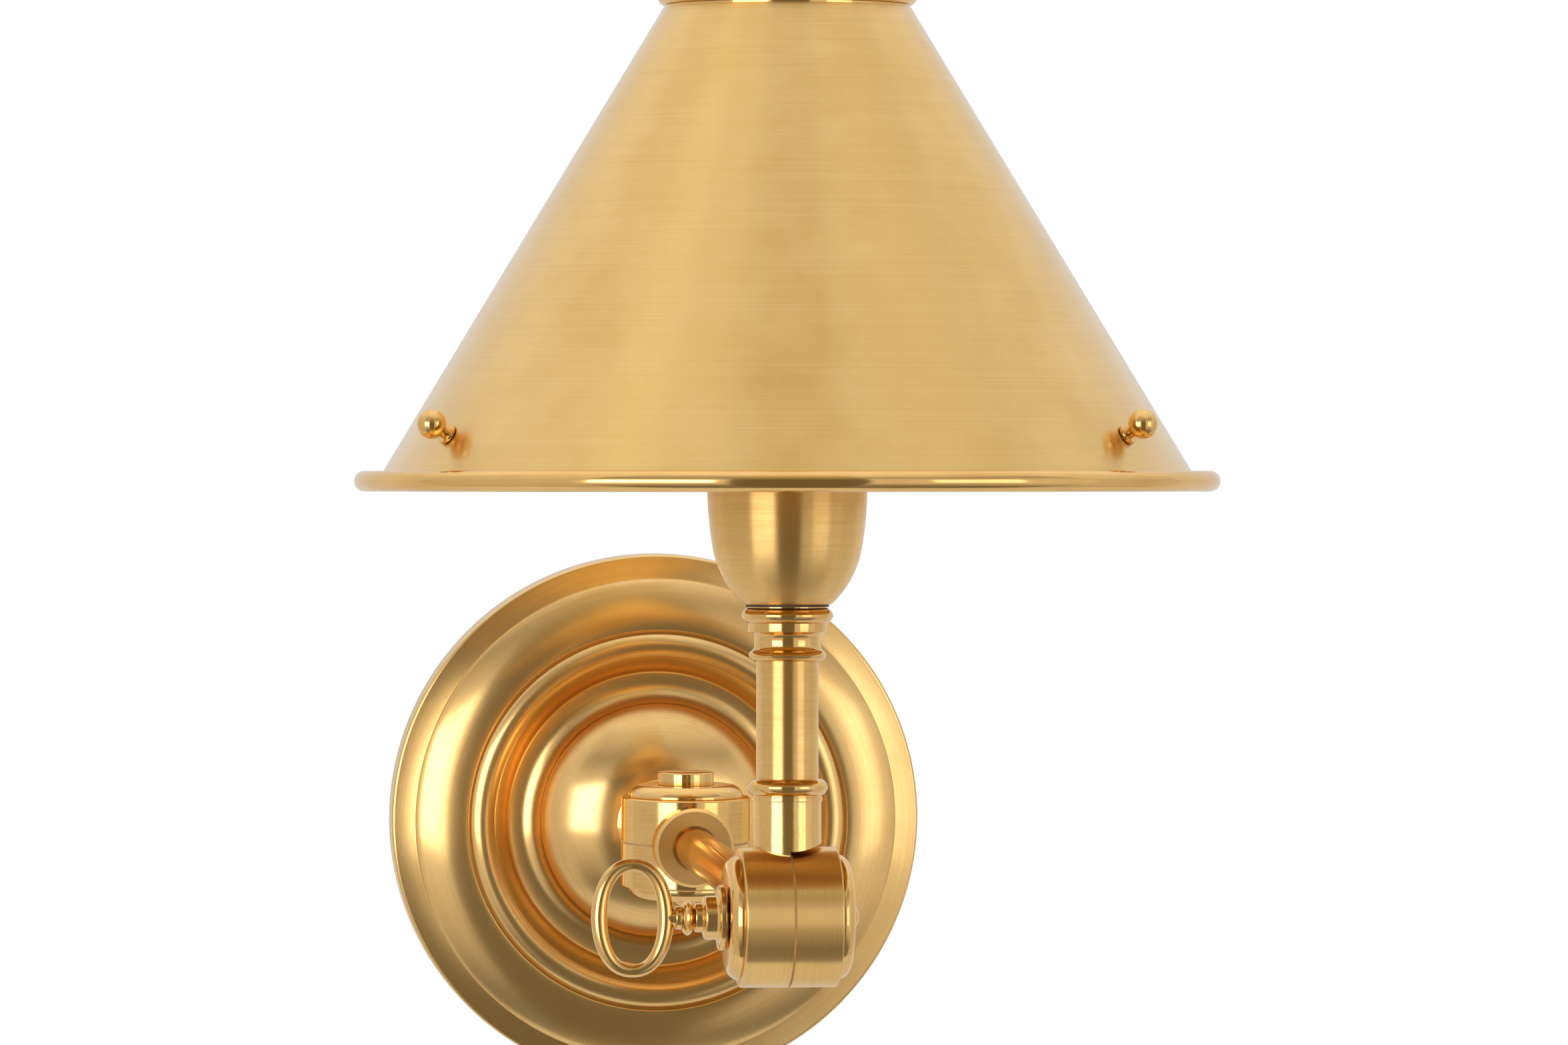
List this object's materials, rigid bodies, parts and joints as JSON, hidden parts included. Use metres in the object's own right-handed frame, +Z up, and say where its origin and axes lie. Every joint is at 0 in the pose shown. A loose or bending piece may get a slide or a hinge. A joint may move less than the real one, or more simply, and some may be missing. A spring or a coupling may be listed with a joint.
{
  "type": "swing-arm wall light",
  "caption": "Brass wall light: a turned round backplate, a swivelling arm and a tilting stem that holds an upright conical metal shade; a thumb key clamps the tilt.",
  "frame": {"origin": "centre of the mounting bracket's screw pattern, on the wall plane", "axes": "+Z up, the wall is the plane y = 0, the arm reaches out along -Y, +X to the right of someone facing the wall"},
  "size_m": [0.1846, 0.3478, 0.2669],
  "materials": {
    "polished_brass": "polished",
    "satin_brass": "satin, brushed",
    "zinc_steel": "zinc plated",
    "green_screw": "gloss",
    "dark_fibre": "matt",
    "black_phenolic": "moulded"
  },
  "bodies": {
    "wall": {"mounting_bracket": "zinc_steel", "bracket_ground_screw": "green_screw", "backplate": "polished_brass", "backplate_set_screws": "zinc_steel", "wall_nipple": "zinc_steel", "wall_nipple_nut": "zinc_steel", "wall_nipple_washer": "zinc_steel", "rear_knuckle_base": "polished_brass", "rear_bottom_cap": "polished_brass", "rear_friction_washer": "dark_fibre"},
    "arm": {"rear_knuckle_turret": "polished_brass", "rear_top_cap": "polished_brass", "rear_pivot_screw": "polished_brass", "rear_pivot_nut": "polished_brass", "arm_rod": "polished_brass", "front_knuckle_arm_half": "polished_brass", "front_right_cap": "polished_brass", "front_pivot_nut": "polished_brass", "front_friction_washer": "dark_fibre"},
    "head": {"front_knuckle_head_half": "polished_brass", "front_left_cap": "polished_brass", "stem_ring": "polished_brass", "stem_tube": "satin_brass", "stem_capital": "polished_brass", "stem_pipe": "zinc_steel", "cup_nut": "zinc_steel", "cup_washer": "dark_fibre", "socket_cup": "satin_brass", "socket_body": "black_phenolic", "socket_screw_shell": "satin_brass", "socket_contact": "satin_brass", "shade_carrier": "satin_brass", "carrier_ring_nut": "satin_brass", "shade_cone": "satin_brass", "shade_rim_ring": "polished_brass", "shade_top_ring": "polished_brass"},
    "key": {"thumb_key": "polished_brass", "key_stud": "zinc_steel"},
    "screw_left": {"shade_screw_left": "polished_brass"},
    "screw_right": {"shade_screw_right": "polished_brass"},
    "screw_back": {"shade_screw_back": "polished_brass"}
  },
  "joints": [
    {"name": "arm_swing", "type": "hinge", "parent": "wall", "child": "arm", "pos_m": [0, -0.07, 0], "axis": [0, 0, 1], "range_deg": [-75, 75]},
    {"name": "head_tilt", "type": "hinge", "parent": "arm", "child": "head", "pos_m": [0, -0.26, 0], "axis": [1, 0, 0], "range_deg": [-17, 90]},
    {"name": "key_turn", "type": "hinge", "parent": "head", "child": "key", "pos_m": [-0.03345, -0.26, 0], "axis": [-1, 0, 0], "range_deg": [0, 180]},
    {"name": "left_screw_turn", "type": "hinge", "parent": "head", "child": "screw_left", "pos_m": [-0.07531, -0.28679, 0.10388], "axis": [-0.789, -0.3069, 0.5322], "range_deg": [0, 360]},
    {"name": "right_screw_turn", "type": "hinge", "parent": "head", "child": "screw_right", "pos_m": [0.06507, -0.30451, 0.10471], "axis": [0.6817, -0.4925, 0.541], "range_deg": [0, 360]},
    {"name": "back_screw_turn", "type": "hinge", "parent": "head", "child": "screw_back", "pos_m": [0.01024, -0.17422, 0.09857], "axis": [0.1073, 0.8726, 0.4766], "range_deg": [0, 360]}
  ]
}
